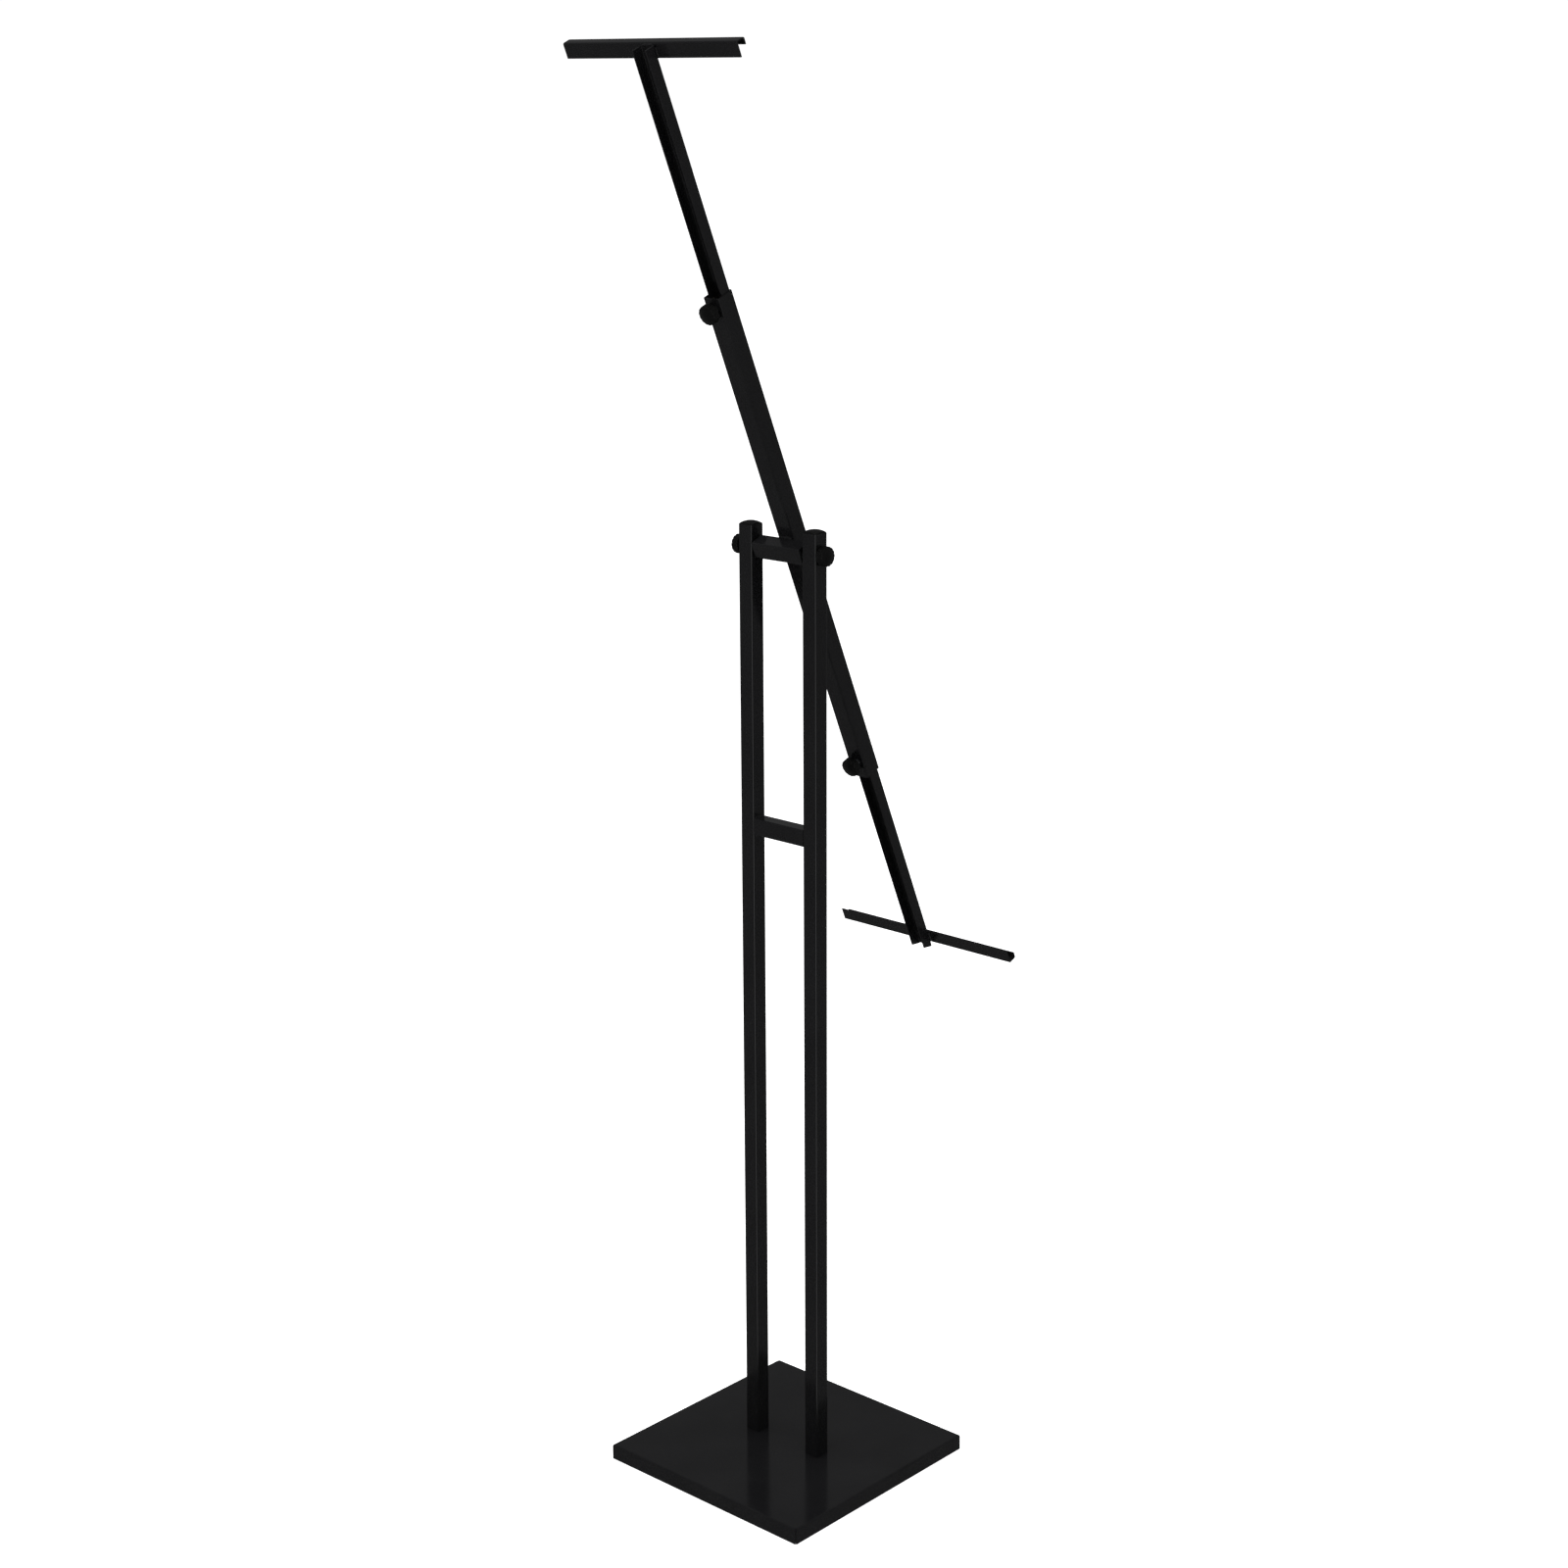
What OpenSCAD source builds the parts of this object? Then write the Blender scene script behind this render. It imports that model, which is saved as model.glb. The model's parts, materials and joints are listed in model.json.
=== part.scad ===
// Double-pole tilting sign-board stand: a weighted square base, two poles, a spine that
// tilts between them, and two telescoping arms that end in board-gripping cross bars.
// X runs along the pivot axis, Z is up, and the origin is under the middle of the base.

/* [Base] */
// Width of the base along the pivot axis
base_w = 300; // [240:5:420]
// Depth of the base across the pivot axis
base_d = 300; // [240:5:420]
// Height of the base's top face above the floor
base_top = 19.5; // [17:0.5:30]
// Gap between the skirt's lower edge and the floor
skirt_gap = 0.75; // [0.5:0.25:1.5]
// Sheet thickness of the base pan
pan_t = 1.5; // [1:0.1:2.5]
// Outside bend radius along the pan's top edges
pan_bend = 2.5; // [2.5:0.1:5]
// Width of the open seam at each folded corner
corner_seam = 0.6; // [0.3:0.1:1.5]
// Thickness of the floor pad under the base
pad_t = 2; // [1.5:0.25:3]
// Thickness of the ballast plate
ballast_t = 6; // [4:0.5:8]
// Side gap round the ballast plate and the floor pad
ballast_gap = 1.5; // [0.5:0.25:5]
// Thickness of the spreader plate under the poles
spreader_t = 3; // [2:0.5:4]
// Width of the spreader plate across the pivot axis
spreader_d = 70; // [40:5:120]

/* [Poles] */
// Side of the square pole tube, and of the rails between the poles
pole_w = 20; // [18:0.5:30]
// Wall of the pole tube
pole_wall = 1.2; // [0.8:0.1:2]
// Outside corner radius of the pole tube
pole_r = 2; // [1.8:0.1:3]
// Distance between the pole centres
pole_pitch = 96; // [84:1:140]
// Length of each pole, from the base's top face
pole_len = 1120; // [900:10:1400]
// Height of the mid rail's centre above the base's top face
rail_up = 770; // [300:1:770]
// Radius of each weld bead
bead = 2.4; // [1.5:0.1:3]
// Thickness of an end cap's rim
cap_rim = 2; // [1:0.1:3]
// Rise of the end cap's dome above its rim
cap_dome = 2; // [0.6:0.1:2.5]
// Depth of an end cap's plug inside the pole
cap_plug = 11; // [8:0.5:16]
// Height of the threaded foot block inside each pole
foot_block_h = 16; // [12:1:30]

/* [Head] */
// Tilt of the spine back from upright, in degrees
tilt = 23.2; // [0:0.2:60]
// Drop of the pivot axis below the pole tops
pivot_drop = 24.5; // [20:0.5:40]
// Wall of the pivot bar
pivot_wall = 1.5; // [1:0.1:2]
// Thickness of the friction washer at each end of the pivot bar
friction_washer_t = 2.4; // [1.5:0.1:4]
// Length of the threaded block in each end of the pivot bar
pivot_block_len = 14; // [10:1:25]
// Side of the spine tube
spine_w = 23; // [22:0.5:30]
// Wall of the spine tube
spine_wall = 1.2; // [0.8:0.1:2]
// Outside corner radius of the spine tube
spine_r = 2; // [1.8:0.1:3]
// Length of the spine above the pivot axis
spine_up = 304; // [200:2:400]
// Length of the spine below the pivot axis
spine_down = 317; // [200:1:317]

/* [Arms] */
// Depth of the arm channel
arm_depth = 14.5; // [12:0.5:16]
// Sheet thickness of the arm channel
arm_t = 1.5; // [1:0.1:2]
// Outside bend radius of the arm channel
arm_r = 2.2; // [1.8:0.1:3]
// Length of each arm
arm_len = 330; // [250:5:400]
// Reach of the upper cross bar's web above the pivot axis
upper_reach = 579; // [480:1:600]
// Reach of the lower cross bar's web below the pivot axis
lower_reach = 580; // [480:1:600]
// How far the upper arm's end stays below the cross bar's web
upper_setback = 3; // [3:0.5:8]
// How far the lower arm's end runs past the cross bar's web
lower_overrun = 4; // [4:0.5:8]
// How far the lower arm's flanges are cut back at its outer end
flange_cut = 6; // [2:0.5:10]

/* [Cross bars] */
// Length of the upper cross bar
upper_grip_w = 248; // [180:2:340]
// Length of the lower cross bar
lower_grip_w = 262; // [180:2:340]
// Width of the cross bar's long leg
grip_leg = 17; // [15:0.5:30]
// Depth of the cross bar's web
grip_depth = 12; // [9:0.5:20]
// Width of the cross bar's short lip
grip_lip = 8; // [5:0.5:12]
// Sheet thickness of the cross bars
grip_t = 1.5; // [1:0.1:2]
// Outside bend radius of the cross bars
grip_r = 2.2; // [1.8:0.1:3]

/* [Knobs and screws] */
// Radius of a knob
knob_r = 11.25; // [9:0.25:16]
// Length of a knob's fluted rim
knob_rim = 8; // [6:0.5:12]
// Rise of a knob's domed face
knob_dome = 3; // [1.5:0.25:4]
// Number of flutes round a knob
knob_flutes = 14; // [8:1:24]
// Distance of the upper clamp knob's axis from the spine's upper end
upper_knob_in = 14; // [13:0.5:30]
// Distance of the lower clamp knob's axis from the spine's lower end
lower_knob_in = 20; // [13:0.5:30]
// Gap under each clamp knob, from the spine's face to the knob
clamp_standoff = 4.6; // [4.4:0.1:7]
// Height of the weld nuts
nut_h = 4; // [3:0.25:4.2]
// Thickness of the pole washers
pole_washer_t = 1.5; // [1:0.1:2]
// Radius of the clamp screws
clamp_screw_r = 2.95; // [2.5:0.05:3.5]
// Radius of the pivot screws and the foot bolts
pivot_screw_r = 3.95; // [3:0.05:4.5]
// Radial clearance between a screw and its threaded hole
thread_fit = 0.05; // [0.02:0.01:0.1]
// Radial clearance between a screw and a plain hole
hole_fit = 0.4; // [0.3:0.05:0.8]

/* [Hidden] */
$fn = 48;
cut = 1;
// Sliding fit between each arm and the spine's inside
slide_gap = 0.25;
// Snug fit between plugs, blocks and the tube round them
plug_gap = 0.1;
// End play of the pivot bar between its friction washers
pivot_play = 0.2;
// Sizes of an end cap's rim and of its ribbed plug
cap_inset = 0.3;
cap_plug_gap = 0.7;
cap_plug_wall = 1.5;
cap_rib_t = 1;
// Round edge at a knob's back and front, and its flutes
knob_edge = 1.2;
flute_r = 1.5;
flute_depth = 0.6;
// Cover left past a screw's end inside what it is screwed into
screw_cover = 2;
hex_socket_r = 1.6;
powder_black = [0.08, 0.08, 0.085];
plastic_black = [0.04, 0.04, 0.04];
zinc = [0.62, 0.63, 0.65];
raw_steel = [0.35, 0.35, 0.36];
rubber_black = [0.06, 0.06, 0.06];
nylon = [0.75, 0.74, 0.7];
pan_under = base_top - pan_t;
ballast_top = pad_t + ballast_t;
spreader_under = pan_under - spreader_t;
foot_washer_t = 1.6;
foot_head_h = 4.5;
foot_head_r = 7.5;
foot_washer_r = 8.5;
access_r = 12;
standoff_r = 6;
standoff_in = 40;
ballast_screw_r = 2.5;
pole_x = pole_pitch / 2;
pole_top = base_top + pole_len;
pole_gap = pole_pitch - pole_w;
pivot_z = pole_top - pivot_drop;
rail_z = base_top + rail_up;
pivot_bar_len = pole_gap - 2 * friction_washer_t - pivot_play;
spine_n = pole_w / 2 + spine_w / 2;
// Width of the arm channel, which runs inside the spine
arm_w = spine_w - 2 * spine_wall - 2 * slide_gap;
// Far face of the arms and near face of the cross bars, measured from the pivot axis
arm_far = pole_w / 2 + spine_w - spine_wall - slide_gap;
upper_arm_end = upper_reach - upper_setback;
lower_arm_end = lower_reach + lower_overrun;
upper_knob_d = spine_up - upper_knob_in;
lower_knob_d = lower_knob_in - spine_down;
// The clamp tips stop just short of the near face of the arm's web
tip_gap = 0.05;
tip_face = arm_far - arm_t - tip_gap;
tip_len = 5;
tip_side = 1.6;
tip_wall = 2;
nut_r = 2 * clamp_screw_r;
knob_bore = 7;
washer_inset = 1.5;
washer_r = pole_w / 2 - washer_inset;

// Placement in the head: y points from the pivot bar to the spine, z runs up the spine
module in_head() {
  translate([0, 0, pivot_z]) rotate([tilt, 0, 0]) children();
}

module rounded_square(w, r) {
  square([w, w - 2 * r], center = true);
  square([w - 2 * r, w], center = true);
  for (x = [-1, 1], y = [-1, 1]) translate([x, y] * (w / 2 - r)) circle(r);
}

module tube_2d(w, wall, r) {
  difference() {
    rounded_square(w, r);
    rounded_square(w - 2 * wall, r - wall);
  }
}

// Rectangle below y = 0 whose two upper corners are rounded
module round_topped(w, h, r) {
  translate([-w / 2, -h]) square([w, h - r]);
  translate([r - w / 2, -r]) square([w - 2 * r, r]);
  for (s = [-1, 1]) translate([s * (w / 2 - r), -r]) circle(r);
}

// Sheet section bent twice, open downwards, with its web at y = 0
module channel_2d(w, h, t, r) {
  difference() {
    round_topped(w, h, r);
    translate([0, -t]) round_topped(w - 2 * t, h, r - t);
  }
}

// Extrude a (y, z) section along X, centred
module along_x(len) {
  rotate([90, 0, 90]) linear_extrude(len, center = true) children();
}

// Vertical cylinder from z1 to z2
module post(r, z1, z2) {
  translate([0, 0, z1]) cylinder(r = r, h = z2 - z1);
}

// Block with its top edges rounded and mitred at the corners, from z = low upwards
module pan_block(inset, low) {
  w = base_w - 2 * inset;
  d = base_d - 2 * inset;
  r = pan_bend - inset;
  intersection() {
    translate([0, 0, base_top - inset]) rotate([90, 0, 0])
      linear_extrude(d, center = true) round_topped(w, base_top - inset - low, r);
    translate([0, 0, base_top - inset]) rotate([90, 0, 90])
      linear_extrude(w, center = true) round_topped(d, base_top - inset - low, r);
  }
}

module at_feet() {
  for (x = [-pole_x, pole_x]) translate([x, 0, 0]) children();
}

module at_standoffs() {
  for (x = [-1, 1], y = [-1, 1])
    translate([x * (base_w / 2 - standoff_in), y * (base_d / 2 - standoff_in), 0]) children();
}

// Folded sheet pan whose skirts meet in an open seam at each corner, with a bend relief
module base_pan() {
  relief = 1.6 * pan_bend;
  color(powder_black) difference() {
    pan_block(0, skirt_gap);
    pan_block(pan_t, skirt_gap - cut);
    for (x = [-1, 1], y = [-1, 1])
      translate([x * base_w / 2, y * base_d / 2, 0]) rotate([0, 0, x * y * 45])
        translate([-x * relief / 2, 0, base_top / 2])
          cube([relief + 2 * cut, corner_seam, base_top + 2 * cut], center = true);
    at_feet() post(pivot_screw_r + hole_fit, pan_under - cut, base_top + cut);
  }
}

// Plate under the pan's top that spreads the load of the two poles
module spreader_plate() {
  color(raw_steel) difference() {
    translate([-pole_x - pole_w, -spreader_d / 2, spreader_under])
      cube([2 * (pole_x + pole_w), spreader_d, spreader_t]);
    at_feet() post(pivot_screw_r + hole_fit, spreader_under - cut, pan_under + cut);
  }
}

module base_plate(z, t) {
  w = base_w - 2 * (pan_t + ballast_gap);
  d = base_d - 2 * (pan_t + ballast_gap);
  difference() {
    translate([-w / 2, -d / 2, z]) cube([w, d, t]);
    at_feet() post(access_r, z - cut, z + t + cut);
  }
}

module base_ballast() {
  color(raw_steel) difference() {
    base_plate(pad_t, ballast_t);
    at_standoffs() {
      post(ballast_screw_r + hole_fit, pad_t - cut, ballast_top + cut);
      post(2 * ballast_screw_r, pad_t - cut, pad_t);
      translate([0, 0, pad_t])
        cylinder(r1 = 2 * ballast_screw_r, r2 = ballast_screw_r, h = ballast_screw_r);
    }
  }
}

module ballast_standoffs() {
  color(zinc) at_standoffs() difference() {
    post(standoff_r, ballast_top, pan_under);
    post(ballast_screw_r + thread_fit, ballast_top - cut, pan_under - screw_cover);
  }
}

// Countersunk screws that hold the ballast plate up to its standoffs
module ballast_screws() {
  color(zinc) at_standoffs() difference() {
    union() {
      post(ballast_screw_r, pad_t, pan_under - screw_cover - 1);
      translate([0, 0, pad_t])
        cylinder(r1 = 2 * ballast_screw_r - hole_fit, r2 = ballast_screw_r - hole_fit,
          h = ballast_screw_r);
    }
    translate([0, 0, pad_t - cut]) cylinder(r = hex_socket_r, h = hex_socket_r + cut, $fn = 6);
  }
}

module floor_pad() {
  color(rubber_black) base_plate(0, pad_t);
}

module foot_bolts() {
  color(zinc) at_feet() {
    translate([0, 0, spreader_under - foot_washer_t - foot_head_h])
      cylinder(r = foot_head_r, h = foot_head_h, $fn = 6);
    post(pivot_screw_r, spreader_under - foot_washer_t, base_top + foot_block_h - screw_cover);
  }
}

module foot_washers() {
  color(zinc) at_feet() difference() {
    post(foot_washer_r, spreader_under - foot_washer_t, spreader_under);
    post(pivot_screw_r + hole_fit, spreader_under - foot_washer_t - cut, spreader_under + cut);
  }
}

// Threaded block welded in the lower end of a pole
module foot_block(x) {
  inner = pole_w - 2 * pole_wall;
  color(raw_steel) translate([x, 0, base_top]) difference() {
    linear_extrude(foot_block_h) rounded_square(inner - 2 * plug_gap, pole_r - pole_wall);
    post(pivot_screw_r + thread_fit, -cut, foot_block_h + cut);
  }
}

module pole(x) {
  color(powder_black) difference() {
    translate([x, 0, base_top]) linear_extrude(pole_len) tube_2d(pole_w, pole_wall, pole_r);
    translate([x, 0, pivot_z]) rotate([0, 90, 0])
      cylinder(r = pivot_screw_r + hole_fit, h = pole_w + 2 * cut, center = true);
  }
}

// Plug-in cap: a rim on the tube's end, a low dome, and a ribbed plug inside the tube
module end_cap(x) {
  inner = pole_w - 2 * pole_wall;
  plug = inner - 2 * cap_plug_gap;
  dome_r = (pow(pole_w / 2, 2) + pow(cap_dome, 2)) / (2 * cap_dome);
  color(plastic_black) translate([x, 0, pole_top]) {
    intersection() {
      linear_extrude(cap_rim + cap_dome) rounded_square(pole_w - 2 * cap_inset, pole_r);
      translate([0, 0, cap_rim + cap_dome - dome_r]) sphere(dome_r, $fn = 96);
    }
    difference() {
      translate([0, 0, -cap_plug]) linear_extrude(cap_plug)
        rounded_square(plug, pole_r - pole_wall);
      translate([0, 0, -cap_plug - cut]) linear_extrude(cap_plug)
        rounded_square(plug - 2 * cap_plug_wall, pole_r - pole_wall);
    }
    for (i = [1:3]) translate([0, 0, -i * cap_plug / 4]) difference() {
      linear_extrude(cap_rib_t) rounded_square(inner - 2 * plug_gap, pole_r - pole_wall);
      translate([0, 0, -cut]) linear_extrude(cap_rib_t + 2 * cut)
        rounded_square(plug, pole_r - pole_wall);
    }
  }
}

module mid_rail() {
  color(powder_black) translate([0, 0, rail_z]) along_x(pole_gap)
    tube_2d(pole_w, pole_wall, pole_r);
}

// Round-faced beads along the rail's upper and lower edges, at both poles
module mid_rail_welds() {
  run = pole_w - 2 * pole_r;
  color(powder_black) translate([0, 0, rail_z])
    for (side = [-1, 1], up = [-1, 1]) intersection() {
      translate([side * pole_gap / 2, 0, up * pole_w / 2]) rotate([90, 0, 0])
        cylinder(r = bead, h = run, center = true);
      translate([side * (pole_gap - bead) / 2, 0, up * (pole_w + bead) / 2])
        cube([bead, pole_w, bead], center = true);
    }
}

module ring(r_out, r_in, t) {
  difference() {
    cylinder(r = r_out, h = t);
    translate([0, 0, -cut]) cylinder(r = r_in, h = t + 2 * cut);
  }
}

module friction_washer(side) {
  color(plastic_black) translate([side * pole_gap / 2, 0, pivot_z]) rotate([0, -side * 90, 0])
    ring(washer_r, pivot_screw_r + hole_fit, friction_washer_t);
}

module pivot_bar() {
  color(powder_black) in_head() along_x(pivot_bar_len)
    tube_2d(pole_w, pivot_wall, pole_r);
}

// Threaded block welded in one end of the pivot bar
module pivot_block(side) {
  inner = pole_w - 2 * pivot_wall - 2 * plug_gap;
  color(raw_steel) in_head() translate([side * (pivot_bar_len - pivot_block_len) / 2, 0, 0])
    difference() {
      along_x(pivot_block_len) rounded_square(inner, pole_r - pivot_wall);
      rotate([0, 90, 0])
        cylinder(r = pivot_screw_r + thread_fit, h = pivot_block_len + 2 * cut, center = true);
    }
}

module spine_shape() {
  translate([0, spine_n, -spine_down]) linear_extrude(spine_up + spine_down) children();
}

module spine_tube() {
  color(powder_black) in_head() difference() {
    spine_shape() tube_2d(spine_w, spine_wall, spine_r);
    for (d = [upper_knob_d, lower_knob_d])
      translate([0, pole_w / 2 - cut, d]) rotate([-90, 0, 0])
        cylinder(r = clamp_screw_r + hole_fit, h = spine_wall + 2 * cut);
  }
}

// Beads where the spine lies on the pivot bar: two across the spine, two along its sides
module spine_welds() {
  across = spine_w - 2 * spine_r;
  along = pole_w - 2 * pole_r;
  color(powder_black) in_head() {
    for (s = [-1, 1]) difference() {
      translate([0, pole_w / 2, s * pole_w / 2]) rotate([0, 90, 0])
        cylinder(r = bead, h = across, center = true);
      along_x(spine_w) rounded_square(pole_w, pole_r);
      translate([-spine_w / 2, pole_w / 2, s * pole_w / 2 - 2 * bead])
        cube([spine_w, 2 * bead, 4 * bead]);
    }
    for (s = [-1, 1]) difference() {
      translate([s * spine_w / 2, pole_w / 2, 0])
        cylinder(r = bead, h = along, center = true);
      spine_shape() rounded_square(spine_w, spine_r);
      translate([s * spine_w / 2 - 2 * bead, pole_w / 2 - 2 * bead, -along])
        cube([4 * bead, 2 * bead, 2 * along]);
    }
  }
}

// Clamp parts sit on an axis that points out of the spine, with z = 0 at its near face
module at_clamp(d) {
  in_head() translate([0, pole_w / 2, d]) rotate([90, 0, 0]) children();
}

module clamp_nut(d) {
  color(zinc) at_clamp(d) difference() {
    cylinder(r = nut_r, h = nut_h, $fn = 6);
    translate([0, 0, -cut]) cylinder(r = clamp_screw_r + thread_fit, h = nut_h + 2 * cut);
  }
}

// Arm channel, open towards the clamp screws; s is 1 for the upper arm and -1 for the lower
module arm(s, end) {
  color(powder_black) in_head() mirror([0, 0, s < 0 ? 1 : 0]) difference() {
    translate([0, arm_far, end - arm_len]) linear_extrude(arm_len)
      channel_2d(arm_w, arm_depth, arm_t, arm_r);
    if (s < 0) flange_trim(end);
  }
}

// Wedge that trims an arm's flanges back from the web towards their free edges
module flange_trim(end) {
  near = arm_far - 2 * arm_t;
  run = arm_depth - 2 * arm_t;
  along_x(2 * arm_w) polygon([
    [near, end], [near, end + cut], [near - 2 * run, end + cut],
    [near - 2 * run, end - 2 * flange_cut]
  ]);
}

// Folded cross bar: the long leg lies on the arm, the short lip faces away from it
module cross_bar(s, reach, grip_w) {
  color(powder_black) in_head() mirror([0, 0, s < 0 ? 1 : 0])
    translate([0, arm_far + grip_depth / 2, reach]) along_x(grip_w) difference() {
      channel_2d(grip_depth, grip_leg, grip_t, grip_r);
      translate([0, -grip_leg - cut]) square([grip_depth, grip_leg - grip_lip + cut]);
    }
}

module arm_section() {
  translate([0, arm_far]) round_topped(arm_w, arm_depth, arm_r);
}

// Beads along both sides of an arm where it lies on its cross bar's long leg
module side_beads(end, reach) {
  low = reach - grip_leg + 1;
  high = min(end, reach) - grip_r;
  for (x = [-1, 1]) difference() {
    translate([x * arm_w / 2, arm_far, low]) cylinder(r = bead, h = high - low);
    translate([0, 0, low - cut]) linear_extrude(high - low + 2 * cut) arm_section();
    translate([x * arm_w / 2 - 2 * bead, arm_far, low - cut])
      cube([4 * bead, 2 * bead, high - low + 2 * cut]);
  }
}

module upper_arm_welds() {
  color(powder_black) in_head() {
    side_beads(upper_arm_end, upper_reach);
    intersection() {
      translate([0, arm_far, upper_arm_end]) rotate([0, 90, 0])
        cylinder(r = arm_t, h = arm_w - 2 * arm_r, center = true);
      translate([-arm_w, arm_far - 2 * arm_t, upper_arm_end])
        cube([2 * arm_w, 2 * arm_t, 2 * arm_t]);
    }
  }
}

module lower_arm_welds() {
  color(powder_black) in_head() mirror([0, 0, 1]) {
    side_beads(lower_arm_end, lower_reach);
    difference() {
      translate([0, arm_far, lower_reach]) rotate([0, 90, 0])
        cylinder(r = bead, h = arm_w - 2 * arm_r, center = true);
      translate([0, arm_far + grip_depth / 2, lower_reach]) along_x(arm_w)
        round_topped(grip_depth, grip_leg, grip_r);
      translate([-arm_w, arm_far - 2 * bead, lower_reach - 2 * bead])
        cube([2 * arm_w, 2 * bead, 4 * bead]);
    }
  }
}

// Fluted knob with a domed face; its screw socket opens downwards at z = 0
module knob(socket_r) {
  color(plastic_black) difference() {
    rotate_extrude($fn = 96) difference() {
      union() {
        translate([0, knob_edge]) square([knob_r, knob_rim - knob_edge]);
        square([knob_r - knob_edge, knob_edge]);
        intersection() {
          translate([0, knob_rim]) square([knob_r, knob_dome]);
          translate([0, knob_rim + knob_dome - dome_sphere()]) circle(dome_sphere(), $fn = 180);
        }
      }
      translate([-knob_r, 0]) square([knob_r, 3 * knob_r]);
    }
    translate([0, 0, -cut]) cylinder(r = socket_r, h = knob_bore + cut);
    for (i = [0:knob_flutes - 1]) rotate([0, 0, i * 360 / knob_flutes])
      translate([knob_r + flute_r - flute_depth, 0, -cut])
        cylinder(r = flute_r, h = knob_rim + knob_dome + 2 * cut, $fn = 24);
  }
}

function dome_sphere() = (pow(knob_r - knob_edge, 2) + pow(knob_dome, 2)) / (2 * knob_dome);

module clamp_knob(d) {
  at_clamp(d) translate([0, 0, clamp_standoff]) knob(clamp_screw_r);
}

// Threaded stud from the knob's socket to the seat in the nylon tip
module clamp_screw(d) {
  color(zinc) at_clamp(d) post(clamp_screw_r, pole_w / 2 - tip_face + tip_wall,
    clamp_standoff + knob_bore);
}

// Nylon tip on the screw's end; it slides with the screw but doesn't turn with it
module clamp_tip(d) {
  color(nylon) at_clamp(d) translate([0, 0, pole_w / 2 - tip_face]) difference() {
    cylinder(r = clamp_screw_r + tip_side, h = tip_len);
    translate([0, 0, tip_wall]) cylinder(r = clamp_screw_r + thread_fit, h = tip_len);
  }
}

// Pivot parts sit on an axis that points out of a pole, with z = 0 at its outer face
module at_pivot(side) {
  translate([side * (pole_x + pole_w / 2), 0, pivot_z]) rotate([0, side * 90, 0]) children();
}

module pivot_knob(side) {
  at_pivot(side) translate([0, 0, pole_washer_t]) knob(pivot_screw_r);
}

module pivot_screw(side) {
  color(zinc) at_pivot(side)
    post(pivot_screw_r, screw_cover - pole_w - friction_washer_t - pivot_block_len,
      pole_washer_t + knob_bore);
}

// Washer held under the pivot knob; it moves out with the knob but doesn't turn with it
module pole_washer(side) {
  color(plastic_black) at_pivot(side)
    ring(washer_r, pivot_screw_r + thread_fit, pole_washer_t);
}

base_pan();
spreader_plate();
base_ballast();
ballast_standoffs();
ballast_screws();
floor_pad();
foot_bolts();
foot_washers();
foot_block(-pole_x);  // left_foot_block
foot_block(pole_x);  // right_foot_block
pole(-pole_x);  // left_pole
pole(pole_x);  // right_pole
end_cap(-pole_x);  // left_end_cap
end_cap(pole_x);  // right_end_cap
mid_rail();
mid_rail_welds();
friction_washer(-1);  // left_friction_washer
friction_washer(1);  // right_friction_washer
pivot_bar();
pivot_block(-1);  // left_pivot_block
pivot_block(1);  // right_pivot_block
spine_tube();
spine_welds();
clamp_nut(upper_knob_d);  // upper_clamp_nut
clamp_nut(lower_knob_d);  // lower_clamp_nut
arm(1, upper_arm_end);  // upper_arm
cross_bar(1, upper_reach, upper_grip_w);  // upper_cross_bar
upper_arm_welds();
arm(-1, lower_arm_end);  // lower_arm
cross_bar(-1, lower_reach, lower_grip_w);  // lower_cross_bar
lower_arm_welds();
clamp_knob(upper_knob_d);  // upper_clamp_knob
clamp_screw(upper_knob_d);  // upper_clamp_screw
clamp_tip(upper_knob_d);  // upper_clamp_tip
clamp_knob(lower_knob_d);  // lower_clamp_knob
clamp_screw(lower_knob_d);  // lower_clamp_screw
clamp_tip(lower_knob_d);  // lower_clamp_tip
pivot_knob(-1);  // left_pivot_knob
pivot_screw(-1);  // left_pivot_screw
pole_washer(-1);  // left_pole_washer
pivot_knob(1);  // right_pivot_knob
pivot_screw(1);  // right_pivot_screw
pole_washer(1);  // right_pole_washer
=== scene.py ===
# Looks of the double-pole tilting display stand: folded and drawn steel in black
# powder coat, moulded knobs and caps, plated screws, on a plain pale floor.
import json
from math import cos, degrees, pi, radians, sin

import bmesh
import bpy
from mathutils import Matrix, Vector


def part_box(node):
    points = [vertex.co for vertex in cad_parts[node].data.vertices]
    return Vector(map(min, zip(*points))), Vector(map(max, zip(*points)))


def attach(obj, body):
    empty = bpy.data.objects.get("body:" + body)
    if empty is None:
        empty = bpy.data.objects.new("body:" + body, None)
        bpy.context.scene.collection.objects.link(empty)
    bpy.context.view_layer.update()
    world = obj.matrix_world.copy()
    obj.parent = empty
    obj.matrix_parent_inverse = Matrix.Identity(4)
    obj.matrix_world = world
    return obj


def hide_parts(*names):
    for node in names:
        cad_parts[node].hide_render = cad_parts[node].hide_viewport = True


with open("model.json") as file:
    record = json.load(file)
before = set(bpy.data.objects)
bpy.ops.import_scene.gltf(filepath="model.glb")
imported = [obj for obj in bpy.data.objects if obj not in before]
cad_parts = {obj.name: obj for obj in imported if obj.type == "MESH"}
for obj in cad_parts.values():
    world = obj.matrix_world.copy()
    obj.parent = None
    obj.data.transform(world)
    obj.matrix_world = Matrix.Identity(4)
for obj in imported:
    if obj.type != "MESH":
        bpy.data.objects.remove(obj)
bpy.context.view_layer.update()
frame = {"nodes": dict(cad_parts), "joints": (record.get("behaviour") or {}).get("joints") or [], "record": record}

MM = 0.001
MERGE_GAP = 0.002 * MM  # points nearer than this are one point
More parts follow.
